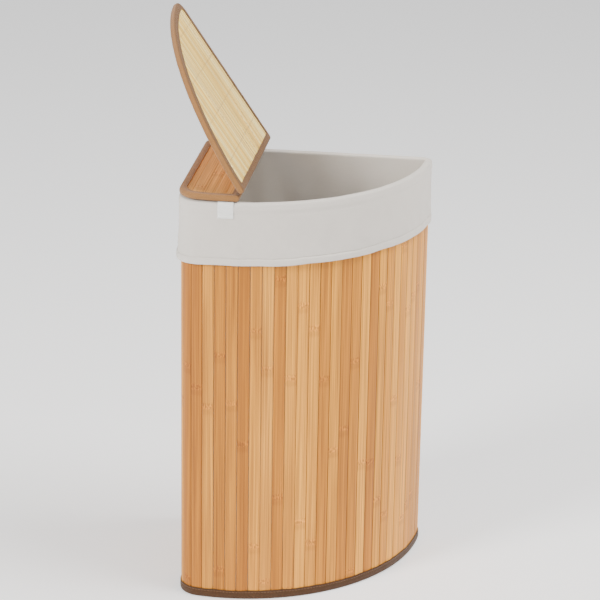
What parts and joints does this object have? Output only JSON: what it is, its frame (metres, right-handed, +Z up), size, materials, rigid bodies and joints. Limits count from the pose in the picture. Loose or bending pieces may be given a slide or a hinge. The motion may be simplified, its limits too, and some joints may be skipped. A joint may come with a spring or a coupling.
{
  "type": "laundry hamper",
  "caption": "Corner laundry hamper with two straight sides and a bowed front of bamboo slats, a turned-down cloth liner and a flat lid that folds back along a cloth hinge.",
  "frame": {"origin": "on the floor, on the underside of the base board", "axes": "+Z up, +X to the right along the straight back wall, +Y towards the back wall, so the bowed front faces -Y"},
  "size_m": [0.3794, 0.2699, 0.8148],
  "materials": {
    "wall_bamboo": "satin lacquered bamboo slats, varied from slat to slat",
    "lid_bamboo": "satin bamboo slat mat",
    "pale_bamboo": "fine pale bamboo mat, cross stitched",
    "lid_binding": "woven brown edge binding",
    "brown_cloth": "dark brown woven binding",
    "liner_cloth": "matt pale grey woven cloth, plain hem",
    "tab_cloth": "white ribbed tape",
    "board": "raw fibreboard",
    "hoop_wire": "drawn steel wire"
  },
  "bodies": {
    "hamper": {"front_slat_01": "wall_bamboo", "front_slat_02": "wall_bamboo", "front_slat_03": "wall_bamboo", "front_slat_04": "wall_bamboo", "front_slat_05": "wall_bamboo", "front_slat_06": "wall_bamboo", "front_slat_07": "wall_bamboo", "front_slat_08": "wall_bamboo", "front_slat_09": "wall_bamboo", "front_slat_10": "wall_bamboo", "front_slat_11": "wall_bamboo", "front_slat_12": "wall_bamboo", "front_slat_13": "wall_bamboo", "front_slat_14": "wall_bamboo", "front_slat_15": "wall_bamboo", "front_slat_16": "wall_bamboo", "front_slat_17": "wall_bamboo", "front_slat_18": "wall_bamboo", "front_slat_19": "wall_bamboo", "front_slat_20": "wall_bamboo", "front_slat_21": "wall_bamboo", "front_slat_22": "wall_bamboo", "front_slat_23": "wall_bamboo", "front_slat_24": "wall_bamboo", "front_slat_25": "wall_bamboo", "front_slat_26": "wall_bamboo", "front_slat_27": "wall_bamboo", "front_slat_28": "wall_bamboo", "front_slat_29": "wall_bamboo", "front_slat_30": "wall_bamboo", "side_wall_slats": "wall_bamboo", "back_wall_slats": "wall_bamboo", "back_corner_slat": "wall_bamboo", "slat_backing_cloth": "brown_cloth", "bottom_hoop": "hoop_wire", "top_hoop": "hoop_wire", "bottom_binding": "brown_cloth", "rim_binding": "brown_cloth", "base_board": "board", "liner": "liner_cloth", "fixed_panel_slat_mat": "lid_bamboo", "fixed_panel_board": "board", "fixed_panel_lining_mat": "pale_bamboo", "fixed_panel_binding": "lid_binding", "fold_hinge_tape": "lid_binding", "front_tab": "tab_cloth", "back_tab": "tab_cloth"},
    "door": {"door_slat_mat": "lid_bamboo", "door_board": "board", "door_lining_mat": "pale_bamboo", "door_binding": "lid_binding"}
  },
  "joints": [
    {"name": "lid_fold", "type": "hinge", "parent": "hamper", "child": "door", "pos_m": [-0.058, 0, 0.6104], "axis": [0, -1, 0], "range_deg": [-124.5, 30]}
  ]
}
